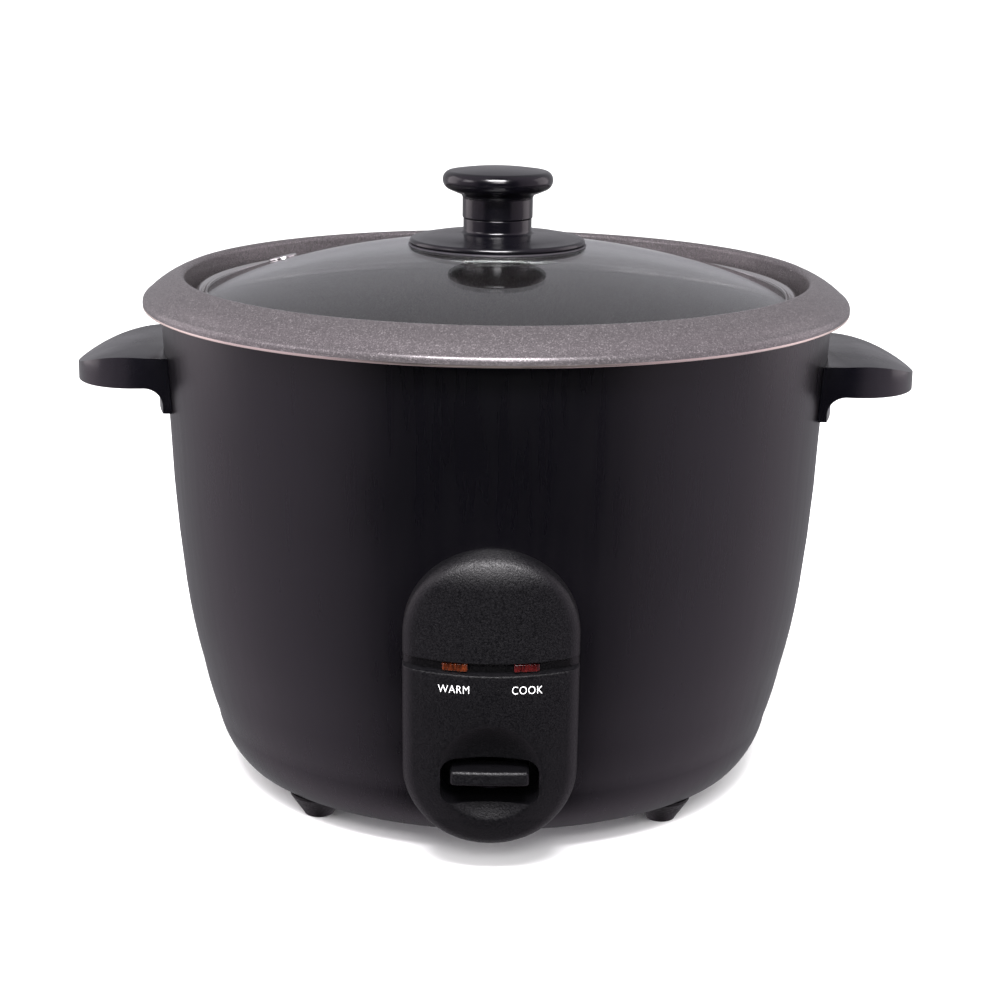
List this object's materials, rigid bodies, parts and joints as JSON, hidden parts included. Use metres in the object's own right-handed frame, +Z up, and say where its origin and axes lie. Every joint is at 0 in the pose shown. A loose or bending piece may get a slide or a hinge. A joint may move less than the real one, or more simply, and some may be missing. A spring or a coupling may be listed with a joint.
{
  "type": "rice cooker",
  "caption": "Drum-shaped electric rice cooker with a lift-out pot, domed glass lid and knob, side handles, a front panel with a press-down cook lever, and a rear power inlet.",
  "frame": {"origin": "centre of the footprint, on the surface that the feet stand on", "axes": "+Z up; the control panel faces -Y; +X to the right when facing the panel, through the two handles"},
  "size_m": [0.3436, 0.2866, 0.2522],
  "materials": {
    "black_paint": "satin",
    "steel_sheet": "satin",
    "stainless": "polished",
    "nonstick": "satin",
    "cast_aluminium": "satin",
    "glass": "clear",
    "bakelite": "gloss",
    "panel_plastic": "matte",
    "foot_plastic": "matte",
    "amber_lens": "clear",
    "red_lens": "clear",
    "lamp_glass": "clear",
    "insulator": "matte",
    "silicone": "satin",
    "ferrite": "matte",
    "spring_steel": "bright",
    "brass": "bright"
  },
  "bodies": {
    "cooker": {"body_shell": "black_paint", "inner_liner": "steel_sheet", "base_cover": "steel_sheet", "foot_front_left": "foot_plastic", "foot_front_right": "foot_plastic", "foot_rear_left": "foot_plastic", "foot_rear_right": "foot_plastic", "base_screws": "spring_steel", "handle_left": "bakelite", "handle_right": "bakelite", "handle_screws": "spring_steel", "control_panel": "panel_plastic", "lens_warm": "amber_lens", "lens_cook": "red_lens", "lamp_warm": "lamp_glass", "lamp_cook": "lamp_glass", "lamp_holder": "insulator", "panel_screws": "spring_steel", "lever_bracket": "steel_sheet", "lever_pivot_pin": "spring_steel", "switch_block": "insulator", "contact_leaves": "brass", "heating_plate": "cast_aluminium", "heating_element": "steel_sheet", "element_terminals": "spring_steel", "heater_posts": "cast_aluminium", "heater_screws": "spring_steel", "sensor_guide": "steel_sheet", "keep_warm_thermostat": "insulator", "thermal_fuse": "insulator", "fuse_clamp": "steel_sheet", "power_inlet": "foot_plastic", "inlet_pins": "brass", "inlet_screws": "spring_steel"},
    "pot": {"inner_pot": "nonstick"},
    "lid": {"lid_glass": "glass", "vent_grommet": "stainless", "lid_rim": "stainless", "knob_base": "bakelite", "knob_gasket": "silicone", "knob_cap": "bakelite", "knob_washer": "spring_steel", "knob_screw": "spring_steel"},
    "lever": {"lever_arm": "steel_sheet", "lever_key": "panel_plastic"},
    "sensor": {"sensor_cap": "cast_aluminium", "ferrite_core": "ferrite", "sensor_spring": "spring_steel"},
    "magnet_rod": {"magnet": "ferrite", "magnet_cup": "steel_sheet", "pull_rod": "spring_steel", "return_spring": "spring_steel"}
  },
  "joints": [
    {"name": "pot_lift", "type": "slide", "parent": "cooker", "child": "pot", "axis": [0, 0, 1], "range_m": [0, 0.2]},
    {"name": "lid_lift", "type": "slide", "parent": "pot", "child": "lid", "axis": [0, 0, 1], "range_m": [0, 0.12]},
    {"name": "lever_press", "type": "hinge", "parent": "cooker", "child": "lever", "pos_m": [0, -0.06, 0.026], "axis": [1, 0, 0], "range_deg": [0, 6], "stiffness_Nm_per_rad": 0.5, "springref_deg": -11.46},
    {"name": "magnet_rise", "type": "slide", "parent": "cooker", "child": "magnet_rod", "axis": [0, 0, 1], "range_m": [0, 0.007], "deforming": ["return_spring"]},
    {"name": "sensor_cap_rise", "type": "slide", "parent": "cooker", "child": "sensor", "axis": [0, 0, 1], "range_m": [0, 0.0025], "deforming": ["sensor_spring"]}
  ],
  "couplings": [
    {"joint": "magnet_rise", "follows": "lever_press", "m_per_rad": 0.0635},
    {"joint": "sensor_cap_rise", "follows": "pot_lift", "ratio": 0.0125}
  ]
}
